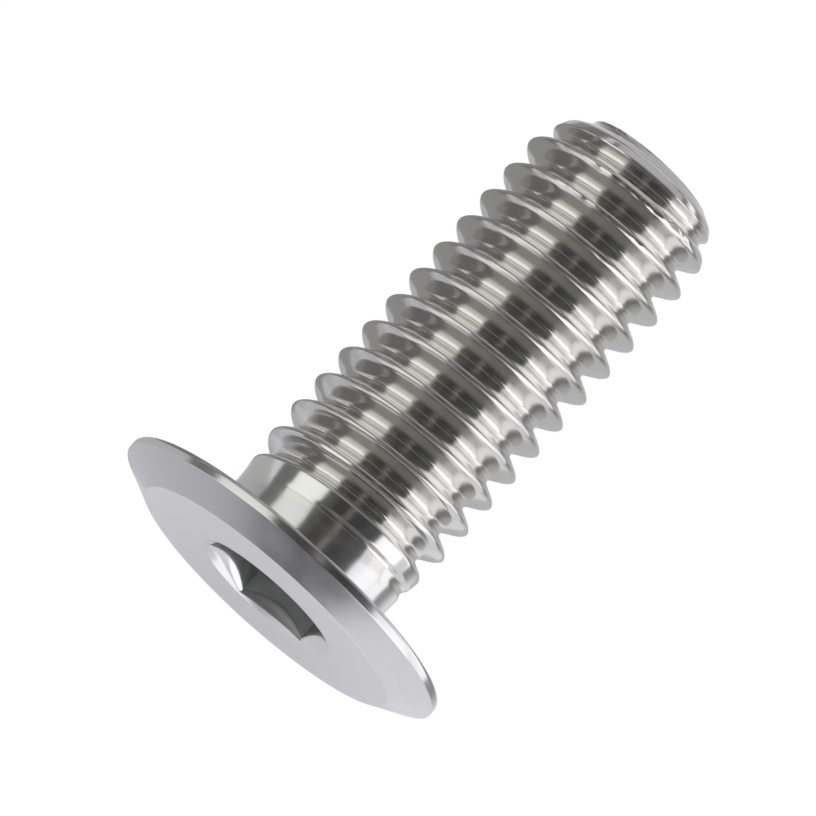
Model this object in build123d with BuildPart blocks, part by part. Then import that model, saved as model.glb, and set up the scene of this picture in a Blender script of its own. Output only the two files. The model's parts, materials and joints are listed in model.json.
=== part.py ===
from build123d import *
from math import atan2, ceil, cos, degrees, floor, radians, sin, tan
import os

# Wafer head socket screw, M5 x 0.8, right-hand thread, hexagon socket 3 mm across flats.
# It is drawn upright first: Z runs along the axis from the bearing face of the head, at
# zero, to the point. The head lies below zero. At the end the screw is laid on its side.

# Head
head_diameter = 8.90
face_diameter = 7.10  # flat top, inside the bevel
bevel_height = 0.46
rim_height = 0.26  # straight land round the head
rim_chamfer = 0.05  # at the back edge of the rim

# Neck, which is the bare blank between the head and the thread
neck_diameter = 4.40
neck_length = 1.15
neck_fillet_radius = 0.30

# Rolled thread
thread_diameter = 4.83
pitch = 0.80
flank_angle = 60
crest_width = 0.10
root_width = 0.15
crest_rise = 1.65  # length over which the crests grow out of the neck
shank_length = 12.25  # from the bearing face to the end of the point

# Point: the crests fade towards it, then a steep cone leads to a short plain end
fade_diameter = 4.02
fade_height = 0.81
point_cone_height = 0.25
point_diameter = 3.20
point_length = 0.05

# Hexagon socket
socket_width = 3.00  # across flats
socket_depth = 1.60
socket_turn = 16  # from the X direction to a corner
mouth_diameter = 3.68
mouth_angle = 120
drill_angle = 120

# Clearances of the cutters that shape the groove
groove_overshoot = 0.04  # outside the crests
groove_start_gap = 0.01  # above the neck, where the groove begins

head_height = bevel_height + rim_height
head_radius = head_diameter / 2
neck_radius = neck_diameter / 2
crest_radius = thread_diameter / 2
full_thread_start = neck_length + crest_rise
point_start = shank_length - point_length
fade_end = point_start - point_cone_height
full_thread_end = fade_end - fade_height

# Blank: X is the radius and Y runs along the axis.
outline = [
    (0, -head_height),
    (face_diameter / 2, -head_height),
    (head_radius, -rim_height),
    (head_radius, -rim_chamfer),
    (head_radius - rim_chamfer, 0),
    (neck_radius, 0),
    (neck_radius, neck_length),
    (crest_radius, full_thread_start),
    (crest_radius, full_thread_end),
    (fade_diameter / 2, fade_end),
    (point_diameter / 2, point_start),
    (point_diameter / 2, shank_length),
    (0, shank_length),
]
under_head = (neck_radius, 0)
corner_radii = [neck_fillet_radius if corner == under_head else 0 for corner in outline[1:-1]]

with BuildPart() as blank:
    with BuildSketch(Plane.XZ):
        with BuildLine():
            FilletPolyline(*outline, radius=corner_radii)
            Line(outline[-1], outline[0])
        make_face()
    revolve(axis=Axis.Z)

# Groove: a flat-bottomed V, drawn in the plane of the axis.
flank_slope = tan(radians(flank_angle / 2))
root_radius = crest_radius - (pitch - crest_width - root_width) / 2 / flank_slope
groove_depth = crest_radius - root_radius + groove_overshoot
groove_width = root_width + 2 * groove_depth * flank_slope


def groove_section(height, root):
    with BuildSketch(Plane.XZ) as section:
        with BuildLine():
            Polyline(
                (root, height - root_width / 2),
                (root + groove_depth, height - groove_width / 2),
                (root + groove_depth, height + groove_width / 2),
                (root, height + root_width / 2),
                close=True,
            )
        make_face()
    return section.sketch.face()


# The first turn sinks from the skin of the neck to the full depth of the thread.
run_out_end = neck_length + pitch
with BuildPart() as run_out:
    with BuildLine() as run_out_path:
        Helix(pitch, pitch, neck_radius, center=(0, 0, neck_length))
    sweep(
        [
            groove_section(neck_length, neck_radius + groove_start_gap),
            groove_section(run_out_end, root_radius),
        ],
        path=run_out_path.wire(),
        multisection=True,
        is_frenet=True,
    )

with BuildPart() as groove_turn:
    with BuildLine() as turn_path:
        Helix(pitch, pitch, neck_radius, center=(0, 0, run_out_end))
    sweep(groove_section(run_out_end, root_radius), path=turn_path.wire(), is_frenet=True)

turns = ceil((shank_length - run_out_end) / pitch) + 1

with BuildPart() as upright:
    add(blank.part)
    add(run_out.part, mode=Mode.SUBTRACT)
    for turn in range(turns):
        with Locations((0, 0, turn * pitch)):
            add(groove_turn.part, mode=Mode.SUBTRACT)

    # Hexagon socket, with the cone of the drill at its bottom and a countersunk mouth
    with BuildSketch(Plane.XY.offset(-head_height)):
        RegularPolygon(socket_width / 2, 6, major_radius=False, rotation=socket_turn)
    extrude(amount=socket_depth, mode=Mode.SUBTRACT)
    for radius, height, angle in (
        (mouth_diameter / 2, -head_height, mouth_angle),
        (socket_width / 2, socket_depth - head_height, drill_angle),
    ):
        with BuildSketch(Plane.XZ):
            with BuildLine():
                cone_height = radius / tan(radians(angle / 2))
                Polyline((0, height), (radius, height), (0, height + cone_height), close=True)
            make_face()
        revolve(axis=Axis.Z, mode=Mode.SUBTRACT)

# At rest the screw touches the ground with the rim of its head and with its last full
# crest, on the side away from X. The crests there stand a whole number of turns above
# the start of the groove.
last_crest = neck_length + floor((full_thread_end - neck_length) / pitch) * pitch
tilt = atan2(head_radius - crest_radius, last_crest + crest_width / 2 + rim_chamfer)
up_side = Vector(sin(tilt), 0, cos(tilt))
axis_direction = Vector(cos(tilt), 0, -sin(tilt))

with BuildPart(Plane((0, 0, 0), x_dir=up_side, z_dir=axis_direction)) as leaning:
    add(upright.part)
extent = leaning.part.bounding_box()
rest = Plane((-extent.center().X, 0, -extent.min.Z), x_dir=up_side, z_dir=axis_direction)

with BuildPart(rest) as screw:
    add(upright.part)
screw.part.label = "screw"

os.makedirs("parts", exist_ok=True)
export_step(screw.part, "parts/screw.step")
print(f"tilt {degrees(tilt):.2f} degrees, bearing face centre {rest.origin}")
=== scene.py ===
# %% [markdown]
# A wafer head socket screw, as a lesson in modelling turned and rolled metal.
#
# The real screw is one piece of polished stainless steel: a thin bevelled disc with a
# hexagon socket, a short plain neck, and a rolled thread that fades in at the neck and out
# at the point. The measured model of it is loaded first, as a fixed frame. The piece made
# here takes its place in the picture, with the rounded crests, the soft run-out of the
# thread and the fine edges that decide how polished metal catches the light.

# %% The frame
import bmesh
import bpy
import json
import math
from mathutils import Matrix, Vector


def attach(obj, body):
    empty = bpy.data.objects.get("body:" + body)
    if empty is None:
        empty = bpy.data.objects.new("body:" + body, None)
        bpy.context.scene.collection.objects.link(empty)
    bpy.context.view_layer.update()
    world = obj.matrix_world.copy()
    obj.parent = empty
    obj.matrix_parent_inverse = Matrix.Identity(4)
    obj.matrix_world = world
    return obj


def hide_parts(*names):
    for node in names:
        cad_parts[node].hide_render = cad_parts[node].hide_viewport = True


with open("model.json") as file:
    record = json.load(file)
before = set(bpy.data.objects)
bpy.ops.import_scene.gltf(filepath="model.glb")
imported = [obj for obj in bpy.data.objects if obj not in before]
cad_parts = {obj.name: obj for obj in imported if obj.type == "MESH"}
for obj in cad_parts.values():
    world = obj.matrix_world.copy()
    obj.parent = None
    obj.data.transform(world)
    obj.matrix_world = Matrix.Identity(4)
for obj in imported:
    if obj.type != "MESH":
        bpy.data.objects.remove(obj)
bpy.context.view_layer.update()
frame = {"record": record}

# %% [markdown]
# A screw is easiest to model the way a lathe holds it, upright on its own axis and in
# millimetres, and to lay down at the end. The frame says where the axis lies: the thread
# and the bearing face are both named there as places to fasten to. Upright, Z is the axis,
# with zero at the bearing face and the point above. X is the side that ends up on top.

# %% Where the screw lies
mounts = {mount["name"]: mount for mount in frame["record"]["mounts"]}
axis = Vector(mounts["thread"]["axis"]).normalized()
on_axis = Vector(mounts["thread"]["pos_m"])
on_face = Vector(mounts["bearing_face"]["pos_m"])
face_centre = on_axis + axis * (on_face - on_axis).dot(axis)

upper_side = (Vector((0, 0, 1)) - axis * axis.z).normalized()
across = axis.cross(upper_side)
turn_to_place = Matrix((upper_side, across, axis)).transposed()
MM = 0.001
placement = Matrix.LocRotScale(face_centre, turn_to_place, Vector((MM, MM, MM)))
print("bearing face centre", [round(v / MM, 3) for v in face_centre], "mm")
print("axis leans down by", round(math.degrees(math.asin(-axis.z)), 2), "degrees")

# %% [markdown]
# The sizes are the real ones, in millimetres. The thread is M5 by 0.8, right-hand, and the
# hexagon takes a 3 mm key. Every curve below is worked out from these few values.

# %% Sizes
HEAD_RADIUS = 4.45
FLAT_RADIUS = 3.55
HEAD_HEIGHT = 0.72
BEVEL_HEIGHT = 0.46
NECK_RADIUS = 2.20
NECK_FILLET = 0.30
PITCH = 0.80
CREST_RADIUS = 2.415
FLANK = math.tan(math.radians(30))
ROOT_WIDTH = 0.15
CREST_WIDTH = 0.10
ROOT_RADIUS = CREST_RADIUS - (PITCH - CREST_WIDTH - ROOT_WIDTH) / 2 / FLANK
THREAD_START = 1.15
CREST_RISE = 1.65
SHANK_LENGTH = 12.25
FADE_START = 11.14
FADE_END = 11.95
FADE_RADIUS = 2.01
POINT_START = 12.20
POINT_RADIUS = 1.60
SOCKET_APOTHEM = 1.50
SOCKET_DEPTH = 1.60
SOCKET_TURN = math.radians(16)
MOUTH_RADIUS = 1.84
STEPS = 144
print("thread depth", round(CREST_RADIUS - ROOT_RADIUS, 3), "mm")

# %% [markdown]
# Operators act on whatever is selected, so every step starts from a clean slate, and faces
# and edges are picked by where they are. These short helpers do that.

# %% Helpers for selecting
def start_clean():
    if bpy.context.object and bpy.context.object.mode != "OBJECT":
        bpy.ops.object.mode_set(mode="OBJECT")
    bpy.ops.object.select_all(action="DESELECT")


def edit(piece):
    start_clean()
    piece.select_set(True)
    bpy.context.view_layer.objects.active = piece
    bpy.ops.object.mode_set(mode="EDIT")
    bpy.ops.mesh.select_all(action="DESELECT")


def pick(piece, kind, wanted):
    """Selects the vertices or edges of the edited piece for which wanted(...) is true."""
    bpy.ops.mesh.select_mode(type={"verts": "VERT", "edges": "EDGE"}[kind])
    bpy.ops.mesh.select_all(action="DESELECT")
    mesh = bmesh.from_edit_mesh(piece.data)
    found = [part for part in getattr(mesh, kind) if wanted(part)]
    for part in found:
        part.select_set(True)
    mesh.select_flush_mode()
    bmesh.update_edit_mesh(piece.data)
    return len(found)


def radius_of(point):
    return math.hypot(point.x, point.y)


def near(a, b, gap=1e-4):
    return abs(a - b) < gap


# %% [markdown]
# The head and the neck are turned, so half of their outline is drawn as a wire, one corner
# after another, and spun round the axis. The wire starts as a plane that is merged to a
# single point, and each extrusion carries the end on to the next corner. The corners are
# then rounded by a vertex bevel: polished steel has no dead sharp edge, and the thin round
# is what gives the rim its light line.

# %% Outline of the head
def wire(name, corners):
    """A wire in the XZ plane through corners, each (radius, height)."""
    start_clean()
    first = corners[0]
    bpy.ops.mesh.primitive_plane_add(size=0.1, location=(first[0], 0, first[1]))
    piece = bpy.context.object
    piece.name = name
    bpy.ops.object.transform_apply(location=True, rotation=True, scale=True)
    bpy.ops.object.mode_set(mode="EDIT")
    bpy.ops.mesh.select_mode(type="VERT")
    bpy.ops.mesh.select_all(action="SELECT")
    bpy.ops.mesh.merge(type="CENTER")
    here = first
    for corner in corners[1:]:
        move = (corner[0] - here[0], 0, corner[1] - here[1])
        bpy.ops.mesh.extrude_vertices_move(TRANSFORM_OT_translate={"value": move})
        here = corner
    return piece


def round_corner(piece, corner, radius, turn_degrees, segments):
    """Rounds the wire at corner by an arc of radius, where the wire turns by that angle."""
    picked = pick(piece, "verts", lambda v: near(v.co.x, corner[0]) and near(v.co.z, corner[1]))
    assert picked == 1, (corner, picked)
    offset = radius * math.tan(math.radians(turn_degrees / 2))
    bpy.ops.mesh.bevel(offset=offset, segments=segments, profile=0.5, affect="VERTICES")


RIM_BACK_ROUND = 0.11
RIM_FRONT_ROUND = 0.03
FLAT_EDGE_ROUND = 0.04
RIM_BACK = (HEAD_RADIUS, 0.0)
RIM_FRONT = (HEAD_RADIUS, BEVEL_HEIGHT - HEAD_HEIGHT)
BEVEL_FRONT = (FLAT_RADIUS, -HEAD_HEIGHT)
NECK_CORNER = (NECK_RADIUS, 0.0)
NECK_JOIN = 0.45
head = wire("screw_steel", [(NECK_RADIUS, NECK_JOIN), NECK_CORNER, RIM_BACK, RIM_FRONT,
                            BEVEL_FRONT, (MOUTH_RADIUS, -HEAD_HEIGHT)])
bevel_turn = math.degrees(math.atan2(HEAD_RADIUS - FLAT_RADIUS, BEVEL_HEIGHT))
round_corner(head, NECK_CORNER, NECK_FILLET, 90, segments=10)
round_corner(head, RIM_BACK, RIM_BACK_ROUND, 90, segments=8)
round_corner(head, RIM_FRONT, RIM_FRONT_ROUND, bevel_turn, segments=5)
round_corner(head, BEVEL_FRONT, FLAT_EDGE_ROUND, 90 - bevel_turn, segments=4)
print("outline points", len(bmesh.from_edit_mesh(head.data).verts))

# %% [markdown]
# A lathe makes a solid of revolution, and the Spin operator does the same with a wire. The
# wire is first turned to the angle of a hexagon corner, so that one of the spun columns
# stands on every corner of the socket that follows. The last column falls on the first, and
# the doubled points are merged.

# %% Spin the outline
COLUMN = math.radians(360 / STEPS)
start_clean()
head.select_set(True)
head.rotation_euler.z = SOCKET_TURN
bpy.ops.object.transform_apply(location=False, rotation=True, scale=False)
edit(head)
bpy.ops.mesh.select_all(action="SELECT")
bpy.ops.mesh.spin(steps=STEPS, angle=math.tau, center=(0, 0, 0), axis=(0, 0, 1))
bpy.ops.mesh.select_all(action="SELECT")
bpy.ops.mesh.remove_doubles(threshold=1e-5)
mesh = bmesh.from_edit_mesh(head.data)
corner_angle = min((math.atan2(v.co.y, v.co.x) - SOCKET_TURN) % COLUMN for v in mesh.verts)
print("head faces", len(mesh.faces), "column off the hexagon's corner by", round(corner_angle, 6))
start_clean()

# %% [markdown]
# The hexagon socket is punched, and its mouth is countersunk at 120 degrees. Where a cone
# meets a hexagon the edge is scalloped: high at the six corners and low along the flats.
# Cutting it with a boolean would leave ragged faces, so the hole in the flat is carried on
# inwards ring by ring instead. The columns of the spin already stand on the six corners.

# %% Mouth and socket
SOCKET_FLOOR = SOCKET_DEPTH - HEAD_HEIGHT
COUNTERSINK = math.tan(math.radians(60))
DRILL_CONE = math.tan(math.radians(60))
MIDDLE_GAP = 0.02
MOUTH_ROUND = 0.014
AT_CORNER = SOCKET_APOTHEM / math.cos(math.radians(29.5))
SLACK = 0.01


def hexagon_radius(angle):
    from_middle = (angle - SOCKET_TURN) % math.radians(60) - math.radians(30)
    return SOCKET_APOTHEM / math.cos(from_middle)


def next_ring(piece, place):
    """Extrudes the selected ring and puts each new point where place(angle) says."""
    bpy.ops.mesh.extrude_edges_move(TRANSFORM_OT_translate={"value": (0, 0, 0)})
    mesh = bmesh.from_edit_mesh(piece.data)
    for v in mesh.verts:
        if v.select:
            angle = math.atan2(v.co.y, v.co.x)
            radius, height = place(angle)
            v.co = Vector((radius * math.cos(angle), radius * math.sin(angle), height))
    bmesh.update_edit_mesh(piece.data)


def scallop(angle):
    radius = hexagon_radius(angle)
    return radius, (MOUTH_RADIUS - radius) / COUNTERSINK - HEAD_HEIGHT


# The punch drags the inner edge of the countersink down with it and leaves it round, most of
# all at the middle of each flat. The lip is a curve from a point on the cone to one as far
# down the wall, with the sharp edge as its middle handle.
LIP = 0.5
LIP_STEPS = 7


def lip(angle, share):
    radius, edge = scallop(angle)
    along = MOUTH_RADIUS - radius
    on_cone = Vector((radius + LIP * along, edge - LIP * along / COUNTERSINK))
    down_wall = Vector((radius, edge + LIP * along / math.sin(math.radians(60))))
    sharp = Vector((radius, edge))
    return on_cone * (1 - share) ** 2 + sharp * 2 * share * (1 - share) + down_wall * share ** 2


edit(head)
pick(head, "edges", lambda e: all(near(radius_of(v.co), MOUTH_RADIUS) for v in e.verts))
for step in range(LIP_STEPS + 1):
    next_ring(head, lambda angle: lip(angle, step / LIP_STEPS))
next_ring(head, lambda angle: (hexagon_radius(angle), SOCKET_FLOOR))
next_ring(head, lambda angle: (SOCKET_APOTHEM - MIDDLE_GAP, SOCKET_FLOOR))
CONE_END = SOCKET_FLOOR + (SOCKET_APOTHEM - MIDDLE_GAP) / DRILL_CONE
next_ring(head, lambda angle: (MIDDLE_GAP, CONE_END))
bpy.ops.mesh.merge(type="CENTER")


def on_mouth_or_corner(e):
    """The circle of the mouth, and the six corners that run down the socket."""
    ends = [v.co for v in e.verts]
    past_floor = max(p.z for p in ends) > SOCKET_FLOOR + SLACK
    outside_mouth = max(map(radius_of, ends)) > MOUTH_RADIUS + SLACK
    if past_floor or outside_mouth:
        return False
    down_corner = (near(radius_of(ends[0]), radius_of(ends[1])) and abs(ends[0].z - ends[1].z) > 1
                   and radius_of(ends[0]) > AT_CORNER)
    return down_corner or all(near(radius_of(p), MOUTH_RADIUS) for p in ends)


print("mouth and corner edges", pick(head, "edges", on_mouth_or_corner))
bpy.ops.mesh.bevel(offset=MOUTH_ROUND, segments=3, profile=0.5, affect="EDGES")
start_clean()
print("head faces with its socket", len(head.data.polygons))

# %% [markdown]
# The thread is rolled, not cut: the dies press a groove into the blank and push metal up
# beside it, so its crests and roots are round and its first turn sinks in gently. A straight
# wire one pitch high goes round and up in a Screw modifier, which lays every row of points
# along the helix. Each point is then pressed in to the radius that the dies leave there,
# so the crest lines run true along the rows and never zigzag.

# %% A tube along the helix
ROWS = 32
TUBE_START = -0.40
start_clean()
tube = wire("tube", [(CREST_RADIUS, TUBE_START), (CREST_RADIUS, TUBE_START + PITCH)])
bpy.ops.mesh.select_all(action="SELECT")
bpy.ops.mesh.subdivide(number_cuts=ROWS - 1)
start_clean()
tube.select_set(True)
tube.rotation_euler.z = SOCKET_TURN
bpy.ops.object.transform_apply(location=False, rotation=True, scale=False)
helix = tube.modifiers.new("helix", "SCREW")
helix.axis = "Z"
helix.angle = math.tau
helix.screw_offset = PITCH
helix.iterations = math.ceil((SHANK_LENGTH - TUBE_START) / PITCH) + 1
helix.steps = helix.render_steps = STEPS
helix.use_merge_vertices = True
helix.merge_threshold = 1e-3
bpy.ops.object.modifier_apply(modifier="helix")
edit(tube)
bpy.ops.mesh.select_all(action="SELECT")
bpy.ops.mesh.remove_doubles(threshold=1e-3)
print("points along the helix", len(bmesh.from_edit_mesh(tube.data).verts))

# %% [markdown]
# Three shapes limit the radius at each point: the blank with its crests growing out of the
# neck, the groove between two flanks, and the point that the crests fade into. The smaller
# one wins, and a smooth minimum rounds the edge between them, as rolling does. The groove
# starts on the +X side as a faint trace, with a gentle slope towards the neck, and then
# sinks to its full depth along an S curve.

# %% Radius left by the dies
CREST_ROUND = 0.15
ROOT_ROUND = 0.10
FADE_ROUND = 0.06
POINT_LAG = 0.07
RISE_POWER = 1.4
NO_GROOVE = 9.0
RISE_ROUND = 0.35
TRACE = 0.15
GENTLE = 4.0
SINK = (0.20, 0.85)


def smooth_min(a, b, width):
    overlap = max(width - abs(a - b), 0) / width
    return min(a, b) - overlap * overlap * width / 4


def smooth_max(a, b, width):
    return -smooth_min(-a, -b, width)


def blank_radius(height):
    grown = min(smooth_max(height - THREAD_START, 0, RISE_ROUND) / CREST_RISE, 1)
    return NECK_RADIUS + (CREST_RADIUS - NECK_RADIUS) * (1 - (1 - grown) ** RISE_POWER)


def groove_radius(height, turns_round, turn):
    """The groove of that turn, as deep as the dies have sunk on this side of the screw."""
    turns = turn + turns_round
    if turns <= -TRACE:
        return NO_GROOVE
    trace = min(1 + turns / TRACE, 1)
    sunk = min(max((turns - SINK[0]) / (SINK[1] - SINK[0]), 0), 1)
    above_root = (NECK_RADIUS - ROOT_RADIUS) * (1 - sunk * sunk * (3 - 2 * sunk))
    root = ROOT_RADIUS + above_root + CREST_ROUND * (1 - trace)
    middle = THREAD_START + PITCH * turns
    slope = FLANK
    if height < middle:
        slope *= 1 + GENTLE * min(max(1 - turns / SINK[0], 0), 1)
    flank = root + (abs(height - middle) - ROOT_WIDTH / 2) / slope
    return smooth_max(root, flank, ROOT_ROUND)


def point_radius(height, aside):
    """The crests fade, then a steep cone leads to the plain end, a little later on one side."""
    fade_slope = (CREST_RADIUS - FADE_RADIUS) / (FADE_END - FADE_START)
    fade = FADE_RADIUS + (FADE_END - height) * fade_slope
    steepness = (FADE_RADIUS - POINT_RADIUS) / (POINT_START - FADE_END)
    cone = POINT_RADIUS + (POINT_START + POINT_LAG * aside - height) * steepness
    return smooth_min(fade, smooth_max(cone, POINT_RADIUS, FADE_ROUND), FADE_ROUND)


def rolled_radius(point):
    turns_round = (math.atan2(point.y, point.x) / math.tau) % 1
    nearest = math.floor((point.z - THREAD_START) / PITCH - turns_round)
    radius = blank_radius(point.z)
    for turn in (nearest, nearest + 1):
        radius = smooth_min(radius, groove_radius(point.z, turns_round, turn), CREST_ROUND)
    return smooth_min(radius, point_radius(point.z, point.y / radius_of(point)), FADE_ROUND)


print("blank grows from", NECK_RADIUS, "to", round(blank_radius(FADE_START), 3), "mm")

# %% [markdown]
# A screw that has lain in a bag with others has small nicks on its last crests, where they
# knocked together. Each one is a shallow dent, pressed in round a place on the crest: its
# row says how high up the screw and how many degrees round it is, how wide and how deep.

# %% Nicks on the last crests
NICKS = (
    (9.54, 12, 0.07, 0.02),
    (10.30, -14, 0.14, 0.03), (10.27, -30, 0.10, 0.03),
    (10.34, 3, 0.12, 0.025), (10.38, 21, 0.09, 0.02),
    (11.09, -20, 0.14, 0.05), (11.11, -8, 0.12, 0.03), (11.15, 6, 0.15, 0.045),
    (11.19, 17, 0.12, 0.04), (11.22, 30, 0.14, 0.035), (11.25, 43, 0.11, 0.03),
)


def nick_depth(point):
    depth = 0
    angle = math.atan2(point.y, point.x)
    for height, degrees_round, size, deepest in NICKS:
        away = math.hypot(point.z - height, CREST_RADIUS * (angle - math.radians(degrees_round)))
        depth += deepest * math.exp(-(away / size) ** 2)
    return depth


mesh = bmesh.from_edit_mesh(tube.data)
for v in mesh.verts:
    pressed = (rolled_radius(v.co) - nick_depth(v.co)) / radius_of(v.co)
    v.co.x *= pressed
    v.co.y *= pressed
bmesh.update_edit_mesh(tube.data)
print("nicks", len(NICKS))

# %% [markdown]
# The ends of the tube are ragged steps of the helix, so a bisect cuts each one square. It
# leaves extra points between the columns, and those are dissolved: then the neck's ring and
# the head's ring have the same points, and a bridge joins them with straight columns.

# %% Square ends
ON_COLUMN = COLUMN / 200


def off_column(v):
    angle = (math.atan2(v.co.y, v.co.x) - SOCKET_TURN) % COLUMN
    return min(angle, COLUMN - angle) > ON_COLUMN


TUBE_JOIN = 0.60
END_ROUND = 0.02
bpy.ops.mesh.select_all(action="SELECT")
bpy.ops.mesh.bisect(plane_co=(0, 0, TUBE_JOIN), plane_no=(0, 0, 1),
                    clear_inner=True, threshold=1e-6)
bpy.ops.mesh.select_all(action="SELECT")
bpy.ops.mesh.bisect(plane_co=(0, 0, SHANK_LENGTH), plane_no=(0, 0, 1),
                    clear_outer=True, threshold=1e-6)
for end in (TUBE_JOIN, SHANK_LENGTH):
    pick(tube, "verts", lambda v: near(v.co.z, end) and off_column(v))
    bpy.ops.mesh.dissolve_verts()
    print("ring at", end, "has", pick(tube, "verts", lambda v: near(v.co.z, end)), "points")
bpy.ops.mesh.edge_face_add()
pick(tube, "edges", lambda e: all(near(v.co.z, SHANK_LENGTH) for v in e.verts))
bpy.ops.mesh.bevel(offset=END_ROUND, segments=3, profile=0.5, affect="EDGES")
start_clean()

# %% [markdown]
# The head and the threaded tube are still two open shells. Joined into one object, they have
# two boundary rings with the same number of points, and a bridge closes the gap between them,
# so the screw is one closed skin as the real one is. Smooth shading stays off at edges sharper
# than 28 degrees, and weighted normals keep the flat faces flat next to the narrow rounds.

# %% One piece of steel
SMOOTH_BELOW = math.radians(28)
head.select_set(True)
tube.select_set(True)
bpy.context.view_layer.objects.active = head
bpy.ops.object.join()
screw = head
edit(screw)
print("rings to bridge", pick(screw, "edges", lambda e: e.is_boundary), "edges")
bpy.ops.mesh.bridge_edge_loops()
bpy.ops.mesh.select_all(action="SELECT")
bpy.ops.mesh.normals_make_consistent(inside=False)
mesh = bmesh.from_edit_mesh(screw.data)
print("open edges", sum(not e.is_manifold for e in mesh.edges))
print("volume", round(mesh.calc_volume(), 1), "mm3")
start_clean()
screw.select_set(True)
bpy.context.view_layer.objects.active = screw
bpy.ops.object.shade_smooth_by_angle(angle=SMOOTH_BELOW)
bpy.ops.object.modifier_add(type="WEIGHTED_NORMAL")
screw.modifiers[-1].keep_sharp = True
bpy.ops.object.modifier_apply(modifier=screw.modifiers[-1].name)

# %% [markdown]
# Up to here the screw stood on its axis in millimetres. One matrix turns it, moves it and
# scales it into the frame, and applying it leaves the object itself at the origin.

# %% Lay the screw down
screw.matrix_world = placement
bpy.ops.object.transform_apply(location=True, rotation=True, scale=True)
print("triangles", sum(len(p.vertices) - 2 for p in screw.data.polygons))

# %% [markdown]
# Polished stainless steel is all reflection, so its look is a metallic shader and a good
# studio. What sets real steel apart from a mirror is the trace of its making, and this screw
# was made in three ways: the head and neck are turned, the thread is rolled and the socket is
# punched. The punched wall is also painted darker, as shade in the recess, and the lip on one
# side of its mouth is darker and duller still. All its finishes read Object coordinates,
# turned to the screw's own axis by a Mapping node, so that the turning lines run true round
# the head and the neck.

# %% Coordinates on the screw's own axis
NOISE_MIDDLE = (0.3, 0.7)


def own_axes(nodes, links):
    """Places in mm from the middle of the bearing face, with Z along the axis."""
    where = nodes.new("ShaderNodeTexCoord")
    turned = nodes.new("ShaderNodeMapping")
    turned.vector_type = "TEXTURE"
    turned.inputs["Location"].default_value = face_centre
    turned.inputs["Rotation"].default_value = turn_to_place.to_euler()
    turned.inputs["Scale"].default_value = (MM, MM, MM)
    links.new(where.outputs["Object"], turned.inputs["Vector"])
    return turned.outputs["Vector"]


def radius_out(nodes, links, place):
    flat = nodes.new("ShaderNodeVectorMath")
    flat.operation = "MULTIPLY"
    flat.inputs[1].default_value = (1, 1, 0)
    length = nodes.new("ShaderNodeVectorMath")
    length.operation = "LENGTH"
    links.new(place, flat.inputs[0])
    links.new(flat.outputs[0], length.inputs[0])
    return length.outputs["Value"]


def spread(nodes, links, value, low, high):
    """Spreads the middle of a noise, which seldom leaves it, over the range from low to high."""
    shift = nodes.new("ShaderNodeMapRange")
    shift.inputs["From Min"].default_value = NOISE_MIDDLE[0]
    shift.inputs["From Max"].default_value = NOISE_MIDDLE[1]
    shift.inputs["To Min"].default_value = low
    shift.inputs["To Max"].default_value = high
    links.new(value, shift.inputs["Value"])
    return shift.outputs[0]


def noise(nodes, links, scale, detail, place=None, along=None):
    """Noise at a place, or in bands when it runs along a single value."""
    texture = nodes.new("ShaderNodeTexNoise")
    texture.inputs["Scale"].default_value = scale
    texture.inputs["Detail"].default_value = detail
    if along is not None:
        texture.noise_dimensions = "1D"
        links.new(along, texture.inputs["W"])
    else:
        links.new(place, texture.inputs["Vector"])
    return texture.outputs["Fac"]


def mix_values(nodes, links, operation, a, b):
    """A Math node on two values, each a number or the output of another node."""
    node = nodes.new("ShaderNodeMath")
    node.operation = operation
    for socket, value in zip(node.inputs, (a, b)):
        if isinstance(value, (int, float)):
            socket.default_value = value
        else:
            links.new(value, socket)
    return node.outputs[0]


# %% [markdown]
# One function makes all the finishes. The lines follow a measure of the profile: distance
# from the axis and a share of the height added up, which grows steadily along the flat, the
# bevel, the rim and the neck. They lift the steel by less than a millionth of a metre. A soft
# cloud lifts it by up to two, changes the roughness from place to place, and tints the steel
# together with the lines.

# %% Finishes
def steel(name, dark, light, polish, line_scale, line_height,
          cloud_scale, cloud_height, height_share):
    material = bpy.data.materials.new(name)
    material.use_nodes = True
    nodes, links = material.node_tree.nodes, material.node_tree.links
    shader = nodes["Principled BSDF"]
    shader.inputs["Metallic"].default_value = 1.0
    place = own_axes(nodes, links)
    height = nodes.new("ShaderNodeSeparateXYZ")
    links.new(place, height.inputs[0])
    up_share = mix_values(nodes, links, "MULTIPLY", height.outputs["Z"], height_share)
    profile = mix_values(nodes, links, "ADD", radius_out(nodes, links, place), up_share)
    lines = noise(nodes, links, line_scale, 3, along=profile)
    cloud = noise(nodes, links, cloud_scale, 4, place=place)
    both = mix_values(nodes, links, "ADD", mix_values(nodes, links, "MULTIPLY", lines, 0.5),
                      mix_values(nodes, links, "MULTIPLY", cloud, 0.5))
    tone = nodes.new("ShaderNodeMix")
    tone.data_type = "RGBA"
    tone.inputs["A"].default_value = (*dark, 1)
    tone.inputs["B"].default_value = (*light, 1)
    links.new(spread(nodes, links, both, 0, 1), tone.inputs["Factor"])
    links.new(tone.outputs["Result"], shader.inputs["Base Color"])
    links.new(spread(nodes, links, cloud, *polish), shader.inputs["Roughness"])
    relief = nodes.new("ShaderNodeBump")
    relief.inputs["Distance"].default_value = line_height
    waves = nodes.new("ShaderNodeBump")
    waves.inputs["Distance"].default_value = cloud_height
    links.new(lines, relief.inputs["Height"])
    links.new(cloud, waves.inputs["Height"])
    links.new(relief.outputs[0], waves.inputs["Normal"])
    links.new(waves.outputs[0], shader.inputs["Normal"])
    return material


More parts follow.
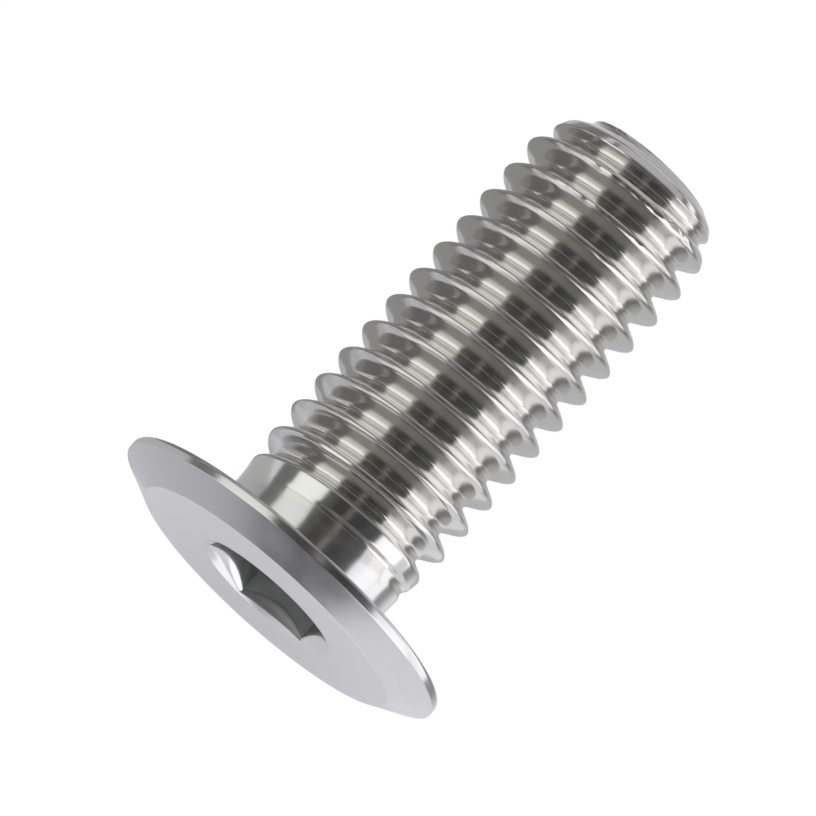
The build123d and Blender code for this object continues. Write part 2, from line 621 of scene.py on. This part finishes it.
MICRON = 1e-6
finishes = [
    steel("turned_steel", (0.745, 0.742, 0.757), (0.775, 0.772, 0.785), (0.15, 0.21),
          line_scale=16, line_height=0.10 * MICRON,
          cloud_scale=1.6, cloud_height=0.4 * MICRON, height_share=0.9),
    steel("rolled_steel", (0.735, 0.728, 0.715), (0.785, 0.780, 0.768), (0.13, 0.18),
          line_scale=14, line_height=0.25 * MICRON,
          cloud_scale=3.2, cloud_height=1.2 * MICRON, height_share=0.0),
    # The punched socket wall: rough and streaked as punched steel is, with its colour painted
    # darker as shade in the recess.
    steel("punched_steel", (0.45, 0.46, 0.46), (0.55, 0.56, 0.56), (0.36, 0.48),
          line_scale=9, line_height=0.6 * MICRON,
          cloud_scale=4.0, cloud_height=2.0 * MICRON, height_share=0.3),
    # Darker, duller steel for the lip on the side at 166 degrees.
    steel("burred_steel", (0.26, 0.26, 0.265), (0.32, 0.32, 0.325), (0.40, 0.50),
          line_scale=9, line_height=0.6 * MICRON,
          cloud_scale=4.0, cloud_height=2.0 * MICRON, height_share=0.3),
]
print("finishes", [finish.name for finish in finishes])

# %% [markdown]
# Each face gets its finish by where its middle lies on the upright screw. The countersink is
# turned, and the punched wall, with its colour painted darker as shade in the recess, begins
# near the lower end of the lip. On the side at 166 degrees the photograph shows the whole lip
# dull and dark, and there it gets a darker, duller steel.

# %% Which face has which finish
TURNED, ROLLED, PUNCHED_SHADED, DARK_LIP = range(4)
PUNCHED_SHADED_FROM = 0.85
DARK_LIP_SIDE = 166
HALF_SIDE = 30
EDGE_GAP = 0.005
to_upright = placement.inverted()
screw.data.materials.clear()
for finish in finishes:
    screw.data.materials.append(finish)
counts = [0, 0, 0, 0]
for face in screw.data.polygons:
    middle = to_upright @ face.center
    angle = math.atan2(middle.y, middle.x)
    inside = radius_of(middle) < MOUTH_RADIUS - EDGE_GAP
    in_mouth = inside and -HEAD_HEIGHT < middle.z < SOCKET_DEPTH
    on_lip = lip(angle, 0).y < middle.z < lip(angle, 1).y
    # The lip on the side at 166 degrees gets the darker, duller steel.
    if in_mouth and on_lip and near(math.degrees(angle) % 360, DARK_LIP_SIDE, HALF_SIDE):
        face.material_index = DARK_LIP
    # The rest of the socket gets the punched steel, painted darker as shade in the recess.
    elif in_mouth and middle.z > lip(angle, PUNCHED_SHADED_FROM).y:
        face.material_index = PUNCHED_SHADED
    elif middle.z > THREAD_START - PITCH / 4:
        face.material_index = ROLLED
    else:
        face.material_index = TURNED
    counts[face.material_index] += 1
print("faces turned, rolled, punched and burred", counts)

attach(screw, "root")
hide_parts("screw")

# %% [markdown]
# The studio is a white floor under a plain white dome. Polished metal in an all-white room
# would be flat white itself, so cards stand round it, as in product photography: only their
# reflections are wanted, so no camera sees them and they shade nothing. To the camera alone
# the floor is mostly glow, which keeps it as white as the background of the photograph.

# %% Dome and floor
FLOOR_RADIUS = 1.5
FLOOR_GLOW = 1.06
GLOW_SHARE = 0.9
world = bpy.data.worlds.new("white_dome")
world.use_nodes = True
world.node_tree.nodes["Background"].inputs["Color"].default_value = (1, 1, 1, 1)
world.node_tree.nodes["Background"].inputs["Strength"].default_value = 1.0
bpy.context.scene.world = world
bpy.context.scene.view_settings.view_transform = "Standard"

start_clean()
bpy.ops.mesh.primitive_circle_add(vertices=64, radius=FLOOR_RADIUS, fill_type="NGON",
                                  location=(0, 0, 0))
floor = bpy.context.object
floor.name = "floor"
floor_paint = bpy.data.materials.new("white_floor")
floor_paint.use_nodes = True
nodes, links = floor_paint.node_tree.nodes, floor_paint.node_tree.links
shader = nodes["Principled BSDF"]
shader.inputs["Base Color"].default_value = (0.78, 0.772, 0.808, 1)
shader.inputs["Roughness"].default_value = 0.9
glow = nodes.new("ShaderNodeEmission")
glow.inputs["Strength"].default_value = FLOOR_GLOW
camera_sees = nodes.new("ShaderNodeLightPath")
share = nodes.new("ShaderNodeMath")
share.operation = "MULTIPLY"
share.inputs[1].default_value = GLOW_SHARE
mix = nodes.new("ShaderNodeMixShader")
links.new(camera_sees.outputs["Is Camera Ray"], share.inputs[0])
links.new(share.outputs[0], mix.inputs["Fac"])
links.new(shader.outputs[0], mix.inputs[1])
links.new(glow.outputs[0], mix.inputs[2])
links.new(mix.outputs[0], nodes["Material Output"].inputs["Surface"])
floor.data.materials.append(floor_paint)
print("floor", 2 * FLOOR_RADIUS, "m across")

# %% [markdown]
# The camera stands almost straight above the screw, where the photograph was taken from,
# and far back with a long lens, so the far end is as large as the near one.

# %% Camera
LEAN_X = math.radians(-1.2887)
LEAN_Y = math.radians(0.1580)
ROLL = math.radians(48.0224)
PIXELS_PER_MM = 45.2268
IMAGE = 816
DISTANCE = 0.6
TARGET = Vector((0, 0, 0.004))
TARGET_PIXEL = (452.780, 388.506)

back = Vector((math.sin(LEAN_X), math.sin(LEAN_Y), 0))
back.z = math.sqrt(1 - back.length_squared)
level_x = (Vector((1, 0, 0)) - back * back.x).normalized()
level_y = back.cross(level_x)
right = level_x * math.cos(ROLL) - level_y * math.sin(ROLL)
up = level_x * math.sin(ROLL) + level_y * math.cos(ROLL)
offset = [(TARGET_PIXEL[0] - IMAGE / 2) / PIXELS_PER_MM,
          (IMAGE / 2 - TARGET_PIXEL[1]) / PIXELS_PER_MM]
place = TARGET + back * DISTANCE - right * offset[0] * MM - up * offset[1] * MM
start_clean()
bpy.ops.object.camera_add()
camera = bpy.context.object
camera.matrix_world = Matrix.LocRotScale(place, Matrix((right, up, back)).transposed(), None)
camera.data.sensor_width = 36
camera.data.lens = camera.data.sensor_width * PIXELS_PER_MM * DISTANCE / MM / IMAGE
camera.data.clip_start = 0.01
camera.data.clip_end = 10
bpy.context.scene.camera = camera
print("lens", round(camera.data.lens), "mm")

# %% [markdown]
# Each card is aimed as a photographer would, by the place on the steel where its reflection
# is wanted. The angle round the axis is zero straight up and grows towards -Y, and the lean
# is how far the sight line tips from square to the axis towards the point. The cards above
# the horizon are strips of one tunnel round the screw. Those below it lie flat on the floor,
# where the sight line from the neck's own skin comes down.

# %% Aiming
TUNNEL = 0.12
NEAR_TUNNEL = 0.075
CARD_LIFT = 0.00005
VIEW_LEAN = math.degrees(math.asin(-back.dot(axis)))
across_view = Vector((0, -1, 0))
print("the neck looks at a lean of", round(VIEW_LEAN, 1), "degrees")


def radial(angle):
    return upper_side * math.cos(math.radians(angle)) + across_view * math.sin(math.radians(angle))


def sight_line(angle, lean):
    return axis * math.sin(math.radians(lean)) + radial(angle) * math.cos(math.radians(lean))


def floor_point(angle, station):
    """Where the floor shows in the skin of the shank at that station, in mm along the axis."""
    start = face_centre + (axis * station + radial(angle / 2) * NECK_RADIUS) * MM
    line = sight_line(angle, VIEW_LEAN)
    point = start - line * (start.z / line.z)
    return Vector((point.x, point.y, CARD_LIFT))


def between(ends, share):
    return ends[0] + (ends[1] - ends[0]) * share


# %% [markdown]
# A card glows by itself, so that its tone in the steel depends on its paint and the finish
# alone. It may be graded along one side, as a photographer grades a strip light with a scrim.
# Only glossy rays see it: it is hidden from the camera and casts no shadow.

# %% Cards
def card_paint(name, grades):
    """Paint graded along V of the card, where grades are pairs of place and tone."""
    paint = bpy.data.materials.new(name)
    paint.use_nodes = True
    paint.cycles.emission_sampling = "NONE"
    nodes, links = paint.node_tree.nodes, paint.node_tree.links
    nodes.clear()
    layout = nodes.new("ShaderNodeUVMap")
    split = nodes.new("ShaderNodeSeparateXYZ")
    ramp = nodes.new("ShaderNodeValToRGB")
    glow = nodes.new("ShaderNodeEmission")
    out = nodes.new("ShaderNodeOutputMaterial")
    stops = ramp.color_ramp.elements
    while len(stops) > 1:
        stops.remove(stops[-1])
    for number, (place, tone) in enumerate(grades):
        stop = stops[0] if number == 0 else stops.new(place)
        stop.position = place
        stop.color = (*tone, 1)
    links.new(layout.outputs[0], split.inputs[0])
    links.new(split.outputs["Y"], ramp.inputs[0])
    links.new(ramp.outputs[0], glow.inputs["Color"])
    links.new(glow.outputs[0], out.inputs["Surface"])
    return paint


def card(name, grades, place, columns=1, rows=1):
    """A card whose points lie at place(u, v), with u and v from 0 to 1."""
    start_clean()
    bpy.ops.mesh.primitive_grid_add(x_subdivisions=columns, y_subdivisions=rows, size=1)
    piece = bpy.context.object
    piece.name = name
    for v in piece.data.vertices:
        v.co = place(v.co.x + 0.5, v.co.y + 0.5)
    piece.data.materials.append(card_paint(name + "_paint", grades))
    piece.visible_camera = False
    piece.visible_diffuse = False
    piece.visible_shadow = False


LEANS = (-89, 89)


def strip(name, angles, tones, far=TUNNEL):
    """One strip of the tunnel, where tones are pairs of lean and tone."""
    grades = [((lean - LEANS[0]) / (LEANS[1] - LEANS[0]), tone) for lean, tone in tones]
    card(name, grades,
         lambda u, v: face_centre + far * sight_line(between(angles, u), between(LEANS, v)),
         columns=12, rows=48)


def on_floor(name, angles, stations, grades, lift=1):
    """A card on the floor: its V runs round the screw, and its U runs along it."""
    card(name, grades, lambda u, v: floor_point(between(angles, v), between(stations, u))
         + Vector((0, 0, CARD_LIFT * lift)), rows=24)


def floor_sheet(name, x_ends, y_ends, grades, lift=1):
    """A straight card on the floor, with its places in mm, graded along X."""
    card(name, grades,
         lambda u, v: Vector((between(x_ends, v) * MM, between(y_ends, u) * MM, CARD_LIFT * lift)))


# %% [markdown]
# The tunnel has nine strips, from below the left horizon over the top to below the right
# one. Bright ones on both sides light the shoulders of the screw, and dark ones between them
# make the deep band along its top, with a paler gap that shows as a thin line. Each is graded
# along the tunnel, because the flanks of the thread look further towards its ends.

# %% The tunnel of strips
strip("strip_left_low", (-116, -67.5),
      [(-45, (0.85, 0.85, 0.85)), (-22, (0.175, 0.175, 0.17)), (46, (0.165, 0.163, 0.155))],
      far=NEAR_TUNNEL)
strip("strip_left", (-67.5, -26.8),
      [(-65, (0.50, 0.50, 0.49)), (-40, (1.08, 1.09, 1.04)), (4, (1.08, 1.09, 1.04)),
       (10, (0.90, 0.91, 0.86)), (13, (0.90, 0.91, 0.86)), (34, (0.35, 0.345, 0.325))])
strip("strip_top_warm", (-26.8, -12),
      [(-65, (0.19, 0.185, 0.18)), (-30, (0.086, 0.087, 0.078)), (14, (0.086, 0.087, 0.078)),
       (46, (0.25, 0.245, 0.225))])
strip("strip_top_left", (-12, 4.5),
      [(-65, (0.18, 0.175, 0.17)), (-30, (0.054, 0.050, 0.049)), (6, (0.054, 0.050, 0.049)),
       (11, (0.064, 0.061, 0.060)), (16, (0.056, 0.053, 0.052)), (46, (0.25, 0.245, 0.225))])
strip("strip_top_gap", (4.5, 11.5),
      [(-65, (0.19, 0.185, 0.18)), (-30, (0.16, 0.15, 0.148)), (6, (0.16, 0.15, 0.148)),
       (10, (0.30, 0.285, 0.28)), (13, (0.30, 0.285, 0.28)), (18, (0.16, 0.15, 0.148)),
       (46, (0.235, 0.23, 0.22))])
strip("strip_top_right", (11.5, 30),
      [(-65, (0.19, 0.185, 0.185)), (-30, (0.050, 0.049, 0.050)), (14, (0.052, 0.051, 0.052)),
       (46, (0.21, 0.205, 0.195))])
strip("strip_top_far", (30, 52),
      [(-65, (0.30, 0.30, 0.30)), (-30, (0.076, 0.076, 0.079)), (14, (0.076, 0.076, 0.079)),
       (46, (0.21, 0.205, 0.20))])
strip("strip_right_high", (52, 66),
      [(-65, (0.85, 0.85, 0.85)), (-40, (1.30, 1.30, 1.30)), (4, (1.30, 1.30, 1.30)),
       (12.5, (1.12, 1.12, 1.12)), (36, (0.38, 0.37, 0.37))])
strip("strip_right", (66, 116),
      [(-85, (1.10, 1.10, 1.10)), (-65, (1.45, 1.45, 1.45)), (4, (1.45, 1.45, 1.45)),
       (10, (1.26, 1.26, 1.26)), (14, (1.24, 1.24, 1.24)), (46, (0.56, 0.55, 0.55))])

# %% [markdown]
# The lower sides of a screw on a white floor would show nothing but white. Cards on the floor
# to the left and right give them the greys of the photograph. The neck and the thread have
# cards of their own, because their tones differ there.

# %% Cards on the floor beside the shank
NECK = (-1.5, 1.1)
THREAD = (1.1, 22)
FAR_THREAD = (1.1, 70)
BESIDE_BOTH = (-1.5, 22)
on_floor("floor_left_neck", (-92, -157), NECK, [(0, (0.487, 0.487, 0.487))])
on_floor("floor_left_thread", (-92, -168), FAR_THREAD,
         [(0, (0.195, 0.19, 0.185)), (0.40, (0.20, 0.195, 0.19)), (0.52, (0.30, 0.30, 0.295))])
on_floor("floor_right_bright", (92, 112), BESIDE_BOTH, [(0, (1.24, 1.24, 1.24))])
on_floor("floor_right_neck", (112, 166), NECK,
         [(0, (0.31, 0.31, 0.315)), (0.24, (0.29, 0.29, 0.295)),
          (0.50, (0.66, 0.66, 0.665)), (0.62, (0.80, 0.80, 0.80))])
on_floor("floor_right_thread", (112, 165), THREAD,
         [(0, (0.24, 0.24, 0.24)), (0.20, (0.21, 0.21, 0.21)),
          (0.40, (0.44, 0.44, 0.44)), (0.52, (0.54, 0.54, 0.54))])

# %% [markdown]
# The head looks away from the shank, at the floor and the room before it. Two sheets on the
# floor shade it, a bright one fills the crescent at the mouth of the socket, and a dark card
# stands upright before it. Two more cards, one below and one above, tone the cone at the
# point. The tones of all the cards were set by comparing the picture with the photograph.

# %% Cards round the head and the point
floor_sheet("floor_head_left", (-6.5, -34), (4.2, 40),
            [(0, (0.575, 0.57, 0.60)), (0.25, (0.52, 0.515, 0.545)), (0.55, (0.475, 0.47, 0.49)),
             (0.80, (0.385, 0.38, 0.395))], lift=2)
floor_sheet("floor_head_right", (-7, -60), (-4.4, -40),
            [(0, (0.775, 0.77, 0.80)), (0.32, (0.785, 0.78, 0.81)), (0.42, (0.45, 0.447, 0.46))],
            lift=2)
floor_sheet("floor_mouth", (-10.6, -26), (-0.8, -4.4), [(0, (1.25, 1.25, 1.26))], lift=3)
floor_sheet("floor_point", (6.6, 12), (-3.2, 3.6),
            [(0, (0.74, 0.73, 0.75)), (0.35, (0.57, 0.56, 0.58)), (0.80, (0.44, 0.44, 0.455))],
            lift=2)
POINT_STATION = 11.6
POINT_FAR = 0.012
POINT_ANGLES = (-62, 62)
POINT_LEANS = (52, 82)
card("card_over_point", [(0, (0.53, 0.525, 0.54))],
     lambda u, v: face_centre + axis * POINT_STATION * MM
     + POINT_FAR * sight_line(between(POINT_ANGLES, u), between(POINT_LEANS, v)),
     columns=12, rows=8)
CARD_X = -31
CARD_WIDTH = (-7.3, 9.5)
CARD_HEIGHT = (0.05, 50)
card("card_before_head",
     [(0, (0.15, 0.148, 0.158)), (0.15, (0.085, 0.084, 0.088)), (0.50, (0.085, 0.084, 0.088)),
      (0.75, (0.175, 0.173, 0.183)), (1, (0.42, 0.415, 0.43))],
     lambda u, v: Vector((CARD_X, between(CARD_WIDTH, v), between(CARD_HEIGHT, u))) * MM)
